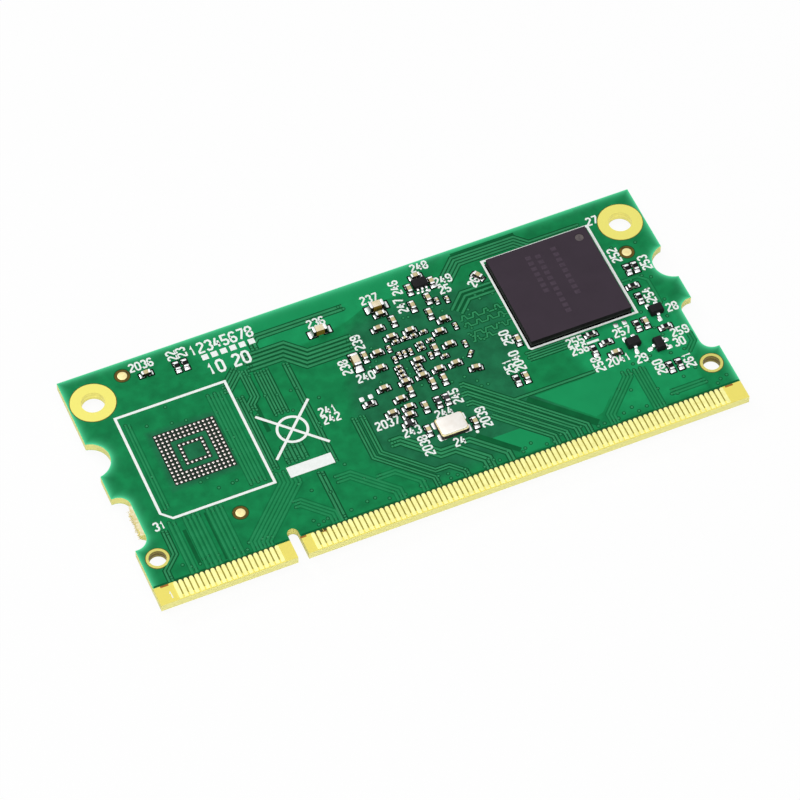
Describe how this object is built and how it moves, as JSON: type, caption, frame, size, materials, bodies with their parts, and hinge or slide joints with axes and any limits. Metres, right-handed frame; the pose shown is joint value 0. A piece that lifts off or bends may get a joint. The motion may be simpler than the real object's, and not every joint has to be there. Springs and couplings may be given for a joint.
{
  "type": "system on module",
  "caption": "Card-edge computer module: a green circuit board with gold edge contacts and a key notch, carrying memory, processor, oscillator and small parts.",
  "frame": {"origin": "middle of the board's plan, on the plane of the processor's face that the module rests on", "axes": "+X along the card edge, +Y from the card edge to the rear edge, +Z out of the memory side"},
  "size_m": [0.0676, 0.031, 0.0034],
  "materials": {
    "laminate": "bare woven glass laminate, satin",
    "solder_mask": "green coating, semi-gloss",
    "edge_gold": "pale gold plating, bright",
    "ring_gold": "gold plating, satin",
    "tinned_land": "tinned, bright",
    "white_ink": "white print, matt",
    "solder": "reflowed solder, bright",
    "chip_carrier": "dark green laminate",
    "epoxy_mould": "dark moulded epoxy, matt",
    "package_black": "black moulded epoxy, satin",
    "tinned_lead": "tinned copper lead, bright",
    "alumina": "white ceramic, matt",
    "lid_metal": "plated lid, satin, warm white",
    "capacitor_ceramic": "tan ceramic, satin",
    "tinned_end": "tinned end, bright",
    "resistor_glaze": "black glass glaze",
    "ferrite": "dark ferrite, matt"
  },
  "bodies": {
    "root": {"laminate_board": "laminate", "upper_coating": "solder_mask", "lower_coating": "solder_mask", "upper_contacts": "edge_gold", "lower_contacts": "edge_gold", "mounting_hole_linings": "ring_gold", "latch_hole_linings": "ring_gold", "alignment_dots": "ring_gold", "spare_chip_lands": "tinned_land", "bare_pads": "tinned_land", "oscillator_pads": "tinned_land", "printed_outlines": "white_ink", "printed_target": "white_ink", "memory_balls": "solder", "processor_balls": "solder", "large_capacitor_solder": "solder", "capacitor_solder": "solder", "tiny_capacitor_solder": "solder", "resistor_solder": "solder", "bead_solder": "solder", "power_chip_lands": "solder", "interface_chip_lands": "solder", "coil_solder": "solder", "lower_capacitor_solder": "solder", "lower_resistor_solder": "solder", "memory_carrier": "chip_carrier", "processor_carrier": "chip_carrier", "memory_cap": "epoxy_mould", "processor_cap": "epoxy_mould", "power_chip": "epoxy_mould", "interface_chip": "epoxy_mould", "storage_chip": "epoxy_mould", "regulator_body": "package_black", "transistor_bodies": "package_black", "regulator_leads": "tinned_lead", "transistor_leads": "tinned_lead", "storage_chip_leads": "tinned_lead", "oscillator_base": "alumina", "resistor_bodies": "alumina", "lower_resistor_bodies": "alumina", "oscillator_lid": "lid_metal", "large_capacitor_bodies": "capacitor_ceramic", "capacitor_bodies": "capacitor_ceramic", "tiny_capacitor_bodies": "capacitor_ceramic", "lower_capacitor_bodies": "capacitor_ceramic", "large_capacitor_ends": "tinned_end", "capacitor_ends": "tinned_end", "tiny_capacitor_ends": "tinned_end", "resistor_ends": "tinned_end", "bead_ends": "tinned_end", "coil_ends": "tinned_end", "lower_capacitor_ends": "tinned_end", "lower_resistor_ends": "tinned_end", "resistor_glaze": "resistor_glaze", "lower_resistor_glaze": "resistor_glaze", "bead_bodies": "ferrite", "coil_bodies": "ferrite"}
  },
  "joints": []
}
